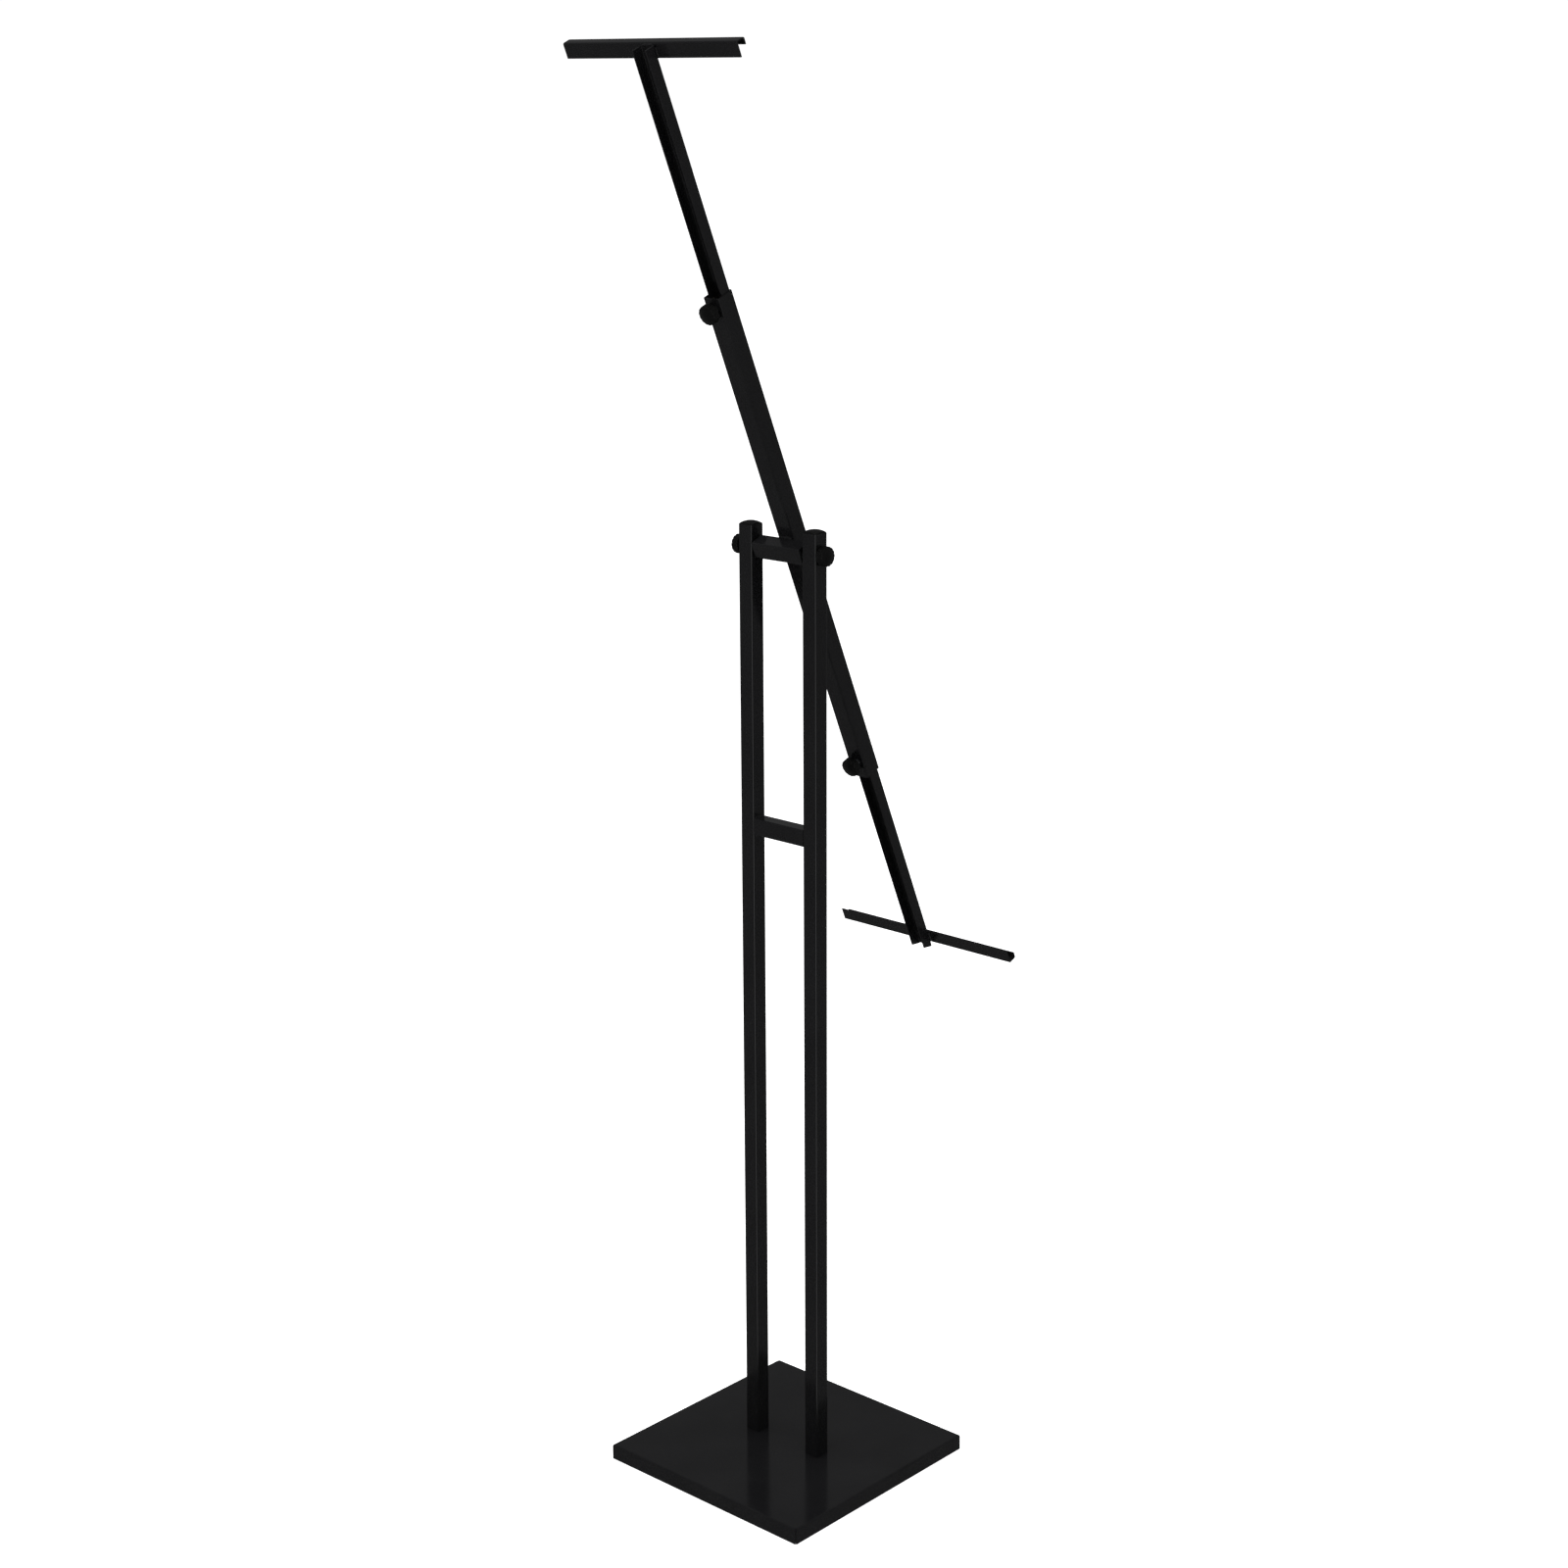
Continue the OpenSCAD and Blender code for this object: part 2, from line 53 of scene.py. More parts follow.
COLLECTION = bpy.context.scene.collection


def linear(hex_colour):
    """sRGB hex to linear RGBA."""
    parts = [int(hex_colour[i:i + 2], 16) / 255 for i in (1, 3, 5)]
    return [p / 12.92 if p <= 0.04045 else ((p + 0.055) / 1.055) ** 2.4 for p in parts] + [1.0]


def add(tree, kind, inputs=None, **settings):
    """Adds a node. An input is a plain value or the output socket that feeds it."""
    made = tree.nodes.new(kind)
    for name, value in settings.items():
        setattr(made, name, value)
    for name, value in (inputs or {}).items():
        if isinstance(value, bpy.types.NodeSocket):
            tree.links.new(value, made.inputs[name])
        else:
            made.inputs[name].default_value = value
    return made


# ---------------------------------------------------------------- finishes

def finish(name, **constants):
    """A Principled material with its constants set, and the piece's own coordinates."""
    material = bpy.data.materials.new(name)
    material.use_nodes = True
    tree = material.node_tree
    surface = tree.nodes["Principled BSDF"]
    for socket, value in constants.items():
        surface.inputs[socket.replace("_", " ")].default_value = value
    place = add(tree, "ShaderNodeTexCoord").outputs["Object"]
    return material, tree, surface, place


def satin_powder_coat():
    # Polyester powder, sprayed dry and baked: it flows into a smooth skin over the steel. The
    # eye sees a deep black with slightly blurred reflections and a faint orange peel.
    material, tree, surface, place = finish("satin_powder_coat", IOR=1.5)
    # flow marks a hand's breadth apart, from how thickly the powder landed
    flow = add(tree, "ShaderNodeTexNoise", {"Vector": place, "Scale": 14.0, "Detail": 3.0})
    # orange peel is about 1 mm across; drawn at 2.5 mm so that it shows
    peel = add(tree, "ShaderNodeTexNoise", {"Vector": place, "Scale": 1 / (2.5 * MM), "Detail": 2.0})
    # the powder's grain, 0.2 mm, drawn at 0.8 mm
    grain = add(tree, "ShaderNodeTexNoise", {"Vector": place, "Scale": 1 / (0.8 * MM), "Detail": 1.0})
    shade = add(tree, "ShaderNodeValToRGB", {"Fac": flow.outputs["Fac"]})
    shade.color_ramp.elements[0].position = 0.3
    shade.color_ramp.elements[0].color = linear("#0e0e0f")
    shade.color_ramp.elements[1].position = 0.7
    shade.color_ramp.elements[1].color = linear("#121213")
    gloss = add(tree, "ShaderNodeMapRange", {"Value": flow.outputs["Fac"], "From Min": 0.3,
                                             "From Max": 0.7, "To Min": 0.10, "To Max": 0.15})
    low = add(tree, "ShaderNodeBump", {"Height": peel.outputs["Fac"], "Strength": 0.25,
                                       "Distance": 0.03 * MM})
    fine = add(tree, "ShaderNodeBump", {"Height": grain.outputs["Fac"], "Strength": 0.2,
                                        "Distance": 0.015 * MM, "Normal": low.outputs["Normal"]})
    tree.links.new(shade.outputs["Color"], surface.inputs["Base Color"])
    tree.links.new(gloss.outputs["Result"], surface.inputs["Roughness"])
    tree.links.new(fine.outputs["Normal"], surface.inputs["Normal"])
    return material


def moulded_plastic(name, dark, pale, grit, rough):
    # Injection moulded in a spark-eroded tool: an even matte skin of fine pits, a little
    # glossier where fingers rub it.
    material, tree, surface, place = finish(name, IOR=1.49, Specular_IOR_Level=0.3)
    pits = add(tree, "ShaderNodeTexVoronoi", {"Vector": place, "Scale": 1 / grit})
    rub = add(tree, "ShaderNodeTexNoise", {"Vector": place, "Scale": 1 / (9 * MM), "Detail": 2.0})
    shade = add(tree, "ShaderNodeValToRGB", {"Fac": rub.outputs["Fac"]})
    shade.color_ramp.elements[0].color = linear(dark)
    shade.color_ramp.elements[1].color = linear(pale)
    gloss = add(tree, "ShaderNodeMapRange", {"Value": rub.outputs["Fac"], "From Min": 0.3,
                                             "From Max": 0.7, "To Min": rough - 0.06,
                                             "To Max": rough + 0.06})
    relief = add(tree, "ShaderNodeBump", {"Height": pits.outputs["Distance"], "Strength": 0.3,
                                          "Distance": 0.03 * MM})
    tree.links.new(shade.outputs["Color"], surface.inputs["Base Color"])
    tree.links.new(gloss.outputs["Result"], surface.inputs["Roughness"])
    tree.links.new(relief.outputs["Normal"], surface.inputs["Normal"])
    return material


def plated_zinc():
    # Bright zinc with a clear blue passivate: a cool metal, clouded where the plating is
    # thicker, over the fine lines of the rolled thread.
    material, tree, surface, place = finish("zinc_plate", Metallic=1.0)
    cloud = add(tree, "ShaderNodeTexNoise", {"Vector": place, "Scale": 1 / (4 * MM), "Detail": 3.0})
    shade = add(tree, "ShaderNodeValToRGB", {"Fac": cloud.outputs["Fac"]})
    shade.color_ramp.elements[0].color = linear("#a6a9ad")
    shade.color_ramp.elements[1].color = linear("#ccd0d4")
    gloss = add(tree, "ShaderNodeMapRange", {"Value": cloud.outputs["Fac"], "From Min": 0.3,
                                             "From Max": 0.7, "To Min": 0.22, "To Max": 0.38})
    relief = add(tree, "ShaderNodeBump", {"Height": cloud.outputs["Fac"], "Strength": 0.15,
                                          "Distance": 0.05 * MM})
    tree.links.new(shade.outputs["Color"], surface.inputs["Base Color"])
    tree.links.new(gloss.outputs["Result"], surface.inputs["Roughness"])
    tree.links.new(relief.outputs["Normal"], surface.inputs["Normal"])
    return material


def mill_steel():
    # Hot-rolled plate as it comes from the mill: blue-grey scale with paler scuffs, oiled.
    material, tree, surface, place = finish("mill_steel", Metallic=1.0)
    scale = add(tree, "ShaderNodeTexNoise", {"Vector": place, "Scale": 1 / (25 * MM),
                                             "Detail": 6.0, "Distortion": 0.8})
    scuff = add(tree, "ShaderNodeTexNoise", {"Vector": place, "Scale": 1 / (2 * MM), "Detail": 3.0})
    shade = add(tree, "ShaderNodeValToRGB", {"Fac": scale.outputs["Fac"]})
    shade.color_ramp.elements[0].position = 0.35
    shade.color_ramp.elements[0].color = linear("#3c3d41")
    shade.color_ramp.elements[1].position = 0.7
    shade.color_ramp.elements[1].color = linear("#6a6a6c")
    gloss = add(tree, "ShaderNodeMapRange", {"Value": scuff.outputs["Fac"], "From Min": 0.3,
                                             "From Max": 0.7, "To Min": 0.42, "To Max": 0.62})
    relief = add(tree, "ShaderNodeBump", {"Height": scuff.outputs["Fac"], "Strength": 0.3,
                                          "Distance": 0.08 * MM})
    tree.links.new(shade.outputs["Color"], surface.inputs["Base Color"])
    tree.links.new(gloss.outputs["Result"], surface.inputs["Roughness"])
    tree.links.new(relief.outputs["Normal"], surface.inputs["Normal"])
    return material


def foam_rubber():
    # Closed-cell sheet cut from a block: dull, dark, and pitted with open cells about 1 mm
    # across, drawn at 1.5 mm.
    material, tree, surface, place = finish("foam_rubber", IOR=1.5, Roughness=0.92)
    cell_pits_and_shade = add(tree, "ShaderNodeTexVoronoi", {"Vector": place, "Scale": 1 / (1.5 * MM)})
    # painted shade: each cell is painted darker towards its middle, where the bump below sinks it into a pit
    shade = add(tree, "ShaderNodeValToRGB", {"Fac": cell_pits_and_shade.outputs["Distance"]})
    shade.color_ramp.elements[0].color = linear("#0c0c0c")
    shade.color_ramp.elements[1].color = linear("#1f1f1f")
    relief = add(tree, "ShaderNodeBump", {"Height": cell_pits_and_shade.outputs["Distance"], "Strength": 0.6,
                                          "Distance": 0.3 * MM})
    tree.links.new(shade.outputs["Color"], surface.inputs["Base Color"])
    tree.links.new(relief.outputs["Normal"], surface.inputs["Normal"])
    return material


COAT = satin_powder_coat()
# glass-filled nylon knobs: the blackest parts of the stand, with a soft sheen on the dome
KNOB = moulded_plastic("moulded_knob_nylon", "#050505", "#090909", 0.7 * MM, 0.34)
# polythene end caps and washers: waxier
CAP = moulded_plastic("moulded_cap_polythene", "#070707", "#0b0b0b", 0.9 * MM, 0.46)
# natural nylon, turned: a warm off-white
TIP = moulded_plastic("turned_natural_nylon", "#c2bba9", "#d6d0c0", 0.5 * MM, 0.42)
ZINC = plated_zinc()
MILL = mill_steel()
FOAM = foam_rubber()

# ---------------------------------------------------------------- placing

joints = {joint["name"]: joint for joint in frame["joints"]}
pivot = Vector(joints["tilt"]["pos_m"])
up_spine = Vector(joints["upper_arm_slide"]["axis"]).normalized()
off_spine = Vector((0, up_spine.z, -up_spine.y))
# Columns: along the pivot, away from the knobs, and up the spine
head_axes = Matrix((Vector((1, 0, 0)), off_spine, up_spine)).transposed()
HEAD = Matrix.Translation(pivot) @ head_axes.to_4x4()


def head_span(name):
    """Lowest and highest corner of a CAD node, measured along the head's own directions."""
    inverse = HEAD.inverted()
    points = [inverse @ v.co for v in frame["nodes"][name].data.vertices]
    return (Vector([min(p[i] for p in points) for i in range(3)]),
            Vector([max(p[i] for p in points) for i in range(3)]))


def body_of(node):
    """Name of the CAD body that carries a node."""
    for body, members in frame["record"]["behaviour"]["bodies"].items():
        if node in members:
            return body


def settle(piece, node):
    """Lets a piece stand for one CAD node and ride on its body."""
    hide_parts(node)
    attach(piece, body_of(node))


def piece_from(mesh, name, material):
    """An object at the origin that holds a finished mesh in one material."""
    mesh.materials.clear()
    mesh.materials.append(material)
    made = bpy.data.objects.new(name, mesh)
    COLLECTION.objects.link(made)
    return made


def plain(maker, name, material):
    """Turns an object with modifiers into a plain mesh object, and removes the first."""
    graph = bpy.context.evaluated_depsgraph_get()
    mesh = bpy.data.meshes.new_from_object(maker.evaluated_get(graph))
    mesh.name = name
    bpy.data.objects.remove(maker)
    return piece_from(mesh, name, material)


def eased(node, material, edge, turn=35):
    """A CAD node with the round on its cut edges that the finish leaves there."""
    form = bmesh.new()
    form.from_mesh(frame["nodes"][node].data)
    bmesh.ops.remove_doubles(form, verts=form.verts, dist=MERGE_GAP)
    bmesh.ops.dissolve_limit(form, angle_limit=radians(0.5), verts=form.verts, edges=form.edges)
    mesh = bpy.data.meshes.new(node)
    form.to_mesh(mesh)
    form.free()
    for face in mesh.polygons:
        face.use_smooth = True
    maker = bpy.data.objects.new("maker", mesh)
    COLLECTION.objects.link(maker)
    bevel = maker.modifiers.new("edge", "BEVEL")
    bevel.width = edge
    bevel.segments = 3
    bevel.limit_method = "ANGLE"
    bevel.angle_limit = radians(turn)
    # flat faces shade flat, right up to their rounds and bends
    maker.modifiers.new("shade", "WEIGHTED_NORMAL").weight = 100
    made = plain(maker, node + "_skin", material)
    settle(made, node)
    return made


def grow(node_tree, mesh, name, material, **sizes):
    """Runs a geometry node tree on a mesh and returns the plain result."""
    maker = bpy.data.objects.new("maker", mesh)
    COLLECTION.objects.link(maker)
    modifier = maker.modifiers.new("grow", "NODES")
    modifier.node_group = node_tree
    sockets = {item.name: item.identifier for item in node_tree.interface.items_tree
               if item.item_type == "SOCKET" and item.in_out == "INPUT"}
    modifier[sockets["Material"]] = material
    for key, value in sizes.items():
        modifier[sockets[key.replace("_", " ").title()]] = value
    maker.update_tag()
    return plain(maker, name, material)


def tree_with(name, sizes):
    """A geometry node tree with a mesh input, named sizes and a material."""
    tree = bpy.data.node_groups.new(name, "GeometryNodeTree")
    face = tree.interface
    face.new_socket("Geometry", in_out="INPUT", socket_type="NodeSocketGeometry")
    for label, kind, value in sizes:
        made = face.new_socket(label, in_out="INPUT", socket_type=kind)
        made.default_value = value
    face.new_socket("Material", in_out="INPUT", socket_type="NodeSocketMaterial")
    face.new_socket("Geometry", in_out="OUTPUT", socket_type="NodeSocketGeometry")
    entry = add(tree, "NodeGroupInput")
    return tree, entry.outputs


def close(tree, geometry, material):
    """Ends a tree: real geometry, smooth, in its material."""
    real = add(tree, "GeometryNodeRealizeInstances", {"Geometry": geometry})
    smooth = add(tree, "GeometryNodeSetShadeSmooth", {"Geometry": real.outputs[0]})
    coated = add(tree, "GeometryNodeSetMaterial", {"Geometry": smooth.outputs[0],
                                                   "Material": material})
    add(tree, "NodeGroupOutput", {0: coated.outputs[0]})


# ---------------------------------------------------------------- weld beads

def weld_tree():
    """A bead along every edge of the mesh, in overlapping ripples, closed at its ends."""
    tree, given = tree_with("weld_bead", (("Radius", "NodeSocketFloat", 2.4 * MM),
                                          ("Ripple", "NodeSocketFloat", 1.6 * MM),
                                          ("Seed", "NodeSocketInt", 3)))
    line = add(tree, "GeometryNodeMeshToCurve", {"Mesh": given["Geometry"]})
    fine = add(tree, "GeometryNodeResampleCurve", {"Curve": line.outputs[0], "Length": 0.2 * MM},
               mode="LENGTH")
    along = add(tree, "GeometryNodeSplineParameter")
    middle = add(tree, "ShaderNodeMath", {0: along.outputs["Factor"], 1: 2.0, 2: -1.0},
                 operation="MULTIPLY_ADD")
    side = add(tree, "ShaderNodeMath", {0: middle.outputs[0]}, operation="ABSOLUTE")
    steep = add(tree, "ShaderNodeMath", {0: side.outputs[0], 1: 6.0}, operation="POWER")
    rest = add(tree, "ShaderNodeMath", {0: 1.0, 1: steep.outputs[0]}, operation="SUBTRACT")
    taper = add(tree, "ShaderNodeMath", {0: rest.outputs[0]}, operation="SQRT")
    steps = add(tree, "ShaderNodeMath", {0: along.outputs["Length"], 1: given["Ripple"]},
                operation="DIVIDE")
    saw = add(tree, "ShaderNodeMath", {0: steps.outputs[0]}, operation="FRACT")
    puddle = add(tree, "ShaderNodeMapRange", {"Value": saw.outputs[0], "To Min": 0.86,
                                              "To Max": 1.0})
    whole = add(tree, "ShaderNodeMath", {0: steps.outputs[0]}, operation="FLOOR")
    uneven = add(tree, "FunctionNodeRandomValue", {2: 0.88, 3: 1.0, "ID": whole.outputs[0],
                                                   "Seed": given["Seed"]})
    first = add(tree, "ShaderNodeMath", {0: puddle.outputs[0], 1: uneven.outputs[1]},
                operation="MULTIPLY")
    second = add(tree, "ShaderNodeMath", {0: first.outputs[0], 1: taper.outputs[0]},
                 operation="MULTIPLY")
    size = add(tree, "ShaderNodeMath", {0: second.outputs[0], 1: given["Radius"]},
               operation="MULTIPLY")
    ring = add(tree, "GeometryNodeCurvePrimitiveCircle", {"Resolution": 24, "Radius": 1.0})
    swept = add(tree, "GeometryNodeCurveToMesh", {"Curve": fine.outputs[0],
                                                  "Profile Curve": ring.outputs["Curve"],
                                                  "Scale": size.outputs[0], "Fill Caps": True})
    joined = add(tree, "GeometryNodeMergeByDistance", {"Geometry": swept.outputs[0],
                                                       "Distance": MERGE_GAP})
    close(tree, joined.outputs[0], given["Material"])
    return tree


WELD = weld_tree()


def weld(node, seams, radius):
    """Beads along straight seams, each a pair of points."""
    mesh = bpy.data.meshes.new(node)
    points = [tuple(p) for seam in seams for p in seam]
    mesh.from_pydata(points, [(i, i + 1) for i in range(0, len(points), 2)], [])
    made = grow(WELD, mesh, node + "_bead", COAT, radius=radius)
    settle(made, node)


FRAME_BEAD = 2.4 * MM * 0.98
ARM_BEAD = {"upper": 1.9 * MM, "lower": 2.2 * MM}
inset = 2 * MM  # a bead stops this far inside its seam's ends
near_edge = 1.2 * MM  # or this far, where it runs to a cross bar's open edge

low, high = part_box("mid_rail")
weld("mid_rail_welds", [((x, low.y + inset, z), (x, high.y - inset, z))
                        for x in (low.x, high.x) for z in (low.z, high.z)], FRAME_BEAD)

bar_low, bar_high = head_span("pivot_bar")
tube_low, tube_high = head_span("spine_tube")
seams = [((tube_low.x + inset, bar_high.y, d), (tube_high.x - inset, bar_high.y, d))
         for d in (bar_low.z, bar_high.z)]
seams += [((x, bar_high.y, bar_low.z + inset), (x, bar_high.y, bar_high.z - inset))
          for x in (tube_low.x, tube_high.x)]
weld("spine_welds", [(HEAD @ Vector(a), HEAD @ Vector(b)) for a, b in seams], FRAME_BEAD)

for arm in ("upper", "lower"):
    arm_low, arm_high = head_span(arm + "_arm")
    bar_low, bar_high = head_span(arm + "_cross_bar")
    far = arm_high.y
    if arm == "upper":
        side = (bar_low.z + near_edge, min(arm_high.z, bar_high.z) - inset)
        end = arm_high.z
    else:
        side = (max(arm_low.z, bar_low.z) + inset, bar_high.z - near_edge)
        end = bar_low.z
    seams = [((x, far, side[0]), (x, far, side[1])) for x in (arm_low.x, arm_high.x)]
    seams.append(((arm_low.x + inset, far, end), (arm_high.x - inset, far, end)))
    weld(arm + "_arm_welds", [(HEAD @ Vector(a), HEAD @ Vector(b)) for a, b in seams],
         ARM_BEAD[arm])

# ---------------------------------------------------------------- knobs

FLUTE_COUNT = 14
STEPS_PER_FLUTE = 12
FLUTE_DEPTH = 0.6 * MM
DOME = 3 * MM


def flute_tree():
    """Presses evenly spaced flutes into the rim of a round piece that stands on Z."""
    tree, given = tree_with("grip_flutes", (("Flutes", "NodeSocketInt", FLUTE_COUNT),
                                            ("Depth", "NodeSocketFloat", FLUTE_DEPTH),
                                            ("Rim Radius", "NodeSocketFloat", 11.25 * MM)))
    where = add(tree, "GeometryNodeInputPosition")
    split = add(tree, "ShaderNodeSeparateXYZ", {0: where.outputs[0]})
    angle = add(tree, "ShaderNodeMath", {0: split.outputs["Y"], 1: split.outputs["X"]},
                operation="ARCTAN2")
    turns = add(tree, "ShaderNodeMath", {0: angle.outputs[0], 1: given["Flutes"]},
                operation="MULTIPLY")
    wave = add(tree, "ShaderNodeMath", {0: turns.outputs[0]}, operation="COSINE")
    hollow = add(tree, "ShaderNodeMapRange", {"Value": wave.outputs[0], "From Min": 0.1,
                                              "From Max": 1.0}, interpolation_type="SMOOTHSTEP")
    flat = add(tree, "ShaderNodeCombineXYZ", {"X": split.outputs["X"], "Y": split.outputs["Y"]})
    radius = add(tree, "ShaderNodeVectorMath", {0: flat.outputs[0]}, operation="LENGTH")
    share = add(tree, "ShaderNodeMath", {0: radius.outputs["Value"], 1: given["Rim Radius"]},
                operation="DIVIDE")
    edge = add(tree, "ShaderNodeMapRange", {"Value": share.outputs[0], "From Min": 0.9,
                                            "From Max": 0.96}, interpolation_type="SMOOTHSTEP")
    amount = add(tree, "ShaderNodeMath", {0: hollow.outputs[0], 1: edge.outputs[0]},
                 operation="MULTIPLY")
    depth = add(tree, "ShaderNodeMath", {0: given["Depth"], 1: -1.0}, operation="MULTIPLY")
    inward = add(tree, "ShaderNodeMath", {0: amount.outputs[0], 1: depth.outputs[0]},
                 operation="MULTIPLY")
    out = add(tree, "ShaderNodeVectorMath", {0: flat.outputs[0]}, operation="NORMALIZE")
    move = add(tree, "ShaderNodeVectorMath", {0: out.outputs[0], "Scale": inward.outputs[0]},
               operation="SCALE")
    pressed = add(tree, "GeometryNodeSetPosition", {"Geometry": given["Geometry"],
                                                    "Offset": move.outputs[0]})
    close(tree, pressed.outputs[0], given["Material"])
    return tree


FLUTES = flute_tree()


def turned(profile, steps, name):
    """A closed solid of revolution round Z from (radius, height) points, foot to crown."""
    form = bmesh.new()
    rings = []
    for radius, height in profile:
        if radius < 1e-9:
            rings.append([form.verts.new((0, 0, height))])
        else:
            rings.append([form.verts.new((radius * cos(2 * pi * i / steps),
                                          radius * sin(2 * pi * i / steps), height))
                          for i in range(steps)])
    for below, above in zip(rings, rings[1:]):
        for i in range(steps):
            j = (i + 1) % steps
            corners = [below[i % len(below)], below[j % len(below)],
                       above[j % len(above)], above[i % len(above)]]
            form.faces.new(list(dict.fromkeys(corners)))
    bmesh.ops.recalc_face_normals(form, faces=form.faces)
    mesh = bpy.data.meshes.new(name)
    form.to_mesh(mesh)
    form.free()
    return mesh


def arc(centre, radius, start, stop, steps):
    """Points on an arc in the (radius, height) plane, from start to stop degrees."""
    return [(centre[0] + radius * cos(radians(start + (stop - start) * i / steps)),
             centre[1] + radius * sin(radians(start + (stop - start) * i / steps)))
            for i in range(steps + 1)]


def knob_profile(radius, height, dome):
    """Hub, hollow back, fluted rim and domed face."""
    rim = height - dome
    edge = 1.2 * MM  # round of the rim
    foot = 0.4 * MM  # round where the hub and the rim's wall end
    draft = 0.1 * MM
    hub = 0.48 * radius
    hub_deep, wall_deep = 2.6 * MM, 2.8 * MM
    lip = radius - 2.2 * MM
    crown_radius = ((radius - edge) ** 2 + dome ** 2) / (2 * dome)
    half = degrees((radius - edge) / crown_radius)
    points = [(0, 0), (hub - foot, 0)] + arc((hub - foot, foot), foot, -90, 0, 3)
    points += [(hub + draft, hub_deep), (lip, wall_deep), (lip + draft, foot)]
    points += arc((lip + draft + foot, foot), foot, 180, 270, 3)
    points += arc((radius - edge, edge), edge, -90, 0, 6)
    points += [(radius, rim * (k / 6)) for k in (2, 3, 4)]
    points += arc((radius - edge, rim - edge * 0.35), edge, 0, 70, 7)
    crown = arc((0, height - crown_radius), crown_radius, 90 - half * 0.93, 90, 14)
    crown[-1] = (0, crown[-1][1])
    return points + crown


def round_part(node, role, axis_out):
    """Way out, foot point, length and radius of a round CAD node on its joint's axis."""
    out = Vector(axis_out).normalized()
    points = [v.co for v in frame["nodes"][node].data.vertices]
    depths = [p.dot(out) for p in points]
    centre = Vector(joints[node.replace(role, "_turn")]["pos_m"])
    radius = max((p - centre - out * (p - centre).dot(out)).length for p in points)
    foot = centre + out * (min(depths) - centre.dot(out))
    return out, foot, max(depths) - min(depths), radius


def stand_on(made, foot, out):
    """Moves a piece built up Z so that it stands on foot and points along out."""
    turn = Vector((0, 0, 1)).rotation_difference(out).to_matrix().to_4x4()
    made.data.transform(Matrix.Translation(foot) @ turn)


def knob(node, axis_out):
    """A knob whose back lies on the CAD knob's back and whose face points along axis_out."""
    out, back, height, radius = round_part(node, "_knob", axis_out)
    mesh = turned(knob_profile(radius, height, DOME), FLUTE_COUNT * STEPS_PER_FLUTE, node)
    made = grow(FLUTES, mesh, node + "_moulding", KNOB, flutes=FLUTE_COUNT, depth=FLUTE_DEPTH,
                rim_radius=radius)
    stand_on(made, back, out)
    settle(made, node)


# ---------------------------------------------------------------- screws

def thread_tree():
    """A rolled thread on Z from the foot up: a core and a helical ridge."""
    tree, given = tree_with("rolled_thread", (("Radius", "NodeSocketFloat", 3 * MM),
                                              ("Pitch", "NodeSocketFloat", 1 * MM),
                                              ("Length", "NodeSocketFloat", 20 * MM)))
    root = add(tree, "ShaderNodeMath", {0: given["Pitch"], 1: -0.5, 2: given["Radius"]},
               operation="MULTIPLY_ADD")
    core = add(tree, "GeometryNodeMeshCylinder", {"Vertices": 48, "Radius": root.outputs[0],
                                                  "Depth": given["Length"]})
    half = add(tree, "ShaderNodeMath", {0: given["Length"], 1: 0.5}, operation="MULTIPLY")
    lift = add(tree, "ShaderNodeCombineXYZ", {"Z": half.outputs[0]})
    stood = add(tree, "GeometryNodeTransform", {"Geometry": core.outputs["Mesh"],
                                                "Translation": lift.outputs[0]})
    rise = add(tree, "ShaderNodeMath", {0: given["Pitch"], 1: -2.0, 2: given["Length"]},
               operation="MULTIPLY_ADD")
    turns = add(tree, "ShaderNodeMath", {0: rise.outputs[0], 1: given["Pitch"]},
                operation="DIVIDE")
    helix = add(tree, "GeometryNodeCurveSpiral", {"Resolution": 32, "Rotations": turns.outputs[0],
                                                  "Start Radius": root.outputs[0],
                                                  "End Radius": root.outputs[0],
                                                  "Height": rise.outputs[0]})
    start = add(tree, "ShaderNodeCombineXYZ", {"Z": given["Pitch"]})
    placed = add(tree, "GeometryNodeTransform", {"Geometry": helix.outputs[0],
                                                 "Translation": start.outputs[0]})
    crest = add(tree, "ShaderNodeMath", {0: given["Pitch"], 1: 0.46}, operation="MULTIPLY")
    section = add(tree, "GeometryNodeCurvePrimitiveCircle", {"Resolution": 8,
                                                             "Radius": crest.outputs[0]})
    ridge = add(tree, "GeometryNodeCurveToMesh", {"Curve": placed.outputs[0],
                                                  "Profile Curve": section.outputs["Curve"],
                                                  "Fill Caps": True})
    both = add(tree, "GeometryNodeJoinGeometry", {0: stood.outputs[0]})
    tree.links.new(ridge.outputs[0], both.inputs[0])
    close(tree, both.outputs[0], given["Material"])
    return tree


THREAD = thread_tree()


M6_PITCH, M8_PITCH = 1.0 * MM, 1.25 * MM


def screw(node, axis_out, pitch):
    """A threaded stud where the CAD screw is."""
    out, foot, length, radius = round_part(node, "_screw", axis_out)
    made = grow(THREAD, bpy.data.meshes.new(node), node + "_stud", ZINC, radius=radius,
                pitch=pitch, length=length)
    stand_on(made, foot, out)
    settle(made, node)


for where in ("upper_clamp", "lower_clamp", "left_pivot", "right_pivot"):
    axis = joints[where + "_turn"]["axis"]
    knob(where + "_knob", axis)
    screw(where + "_screw", axis, M6_PITCH if "clamp" in where else M8_PITCH)

# ---------------------------------------------------------------- steelwork and small parts

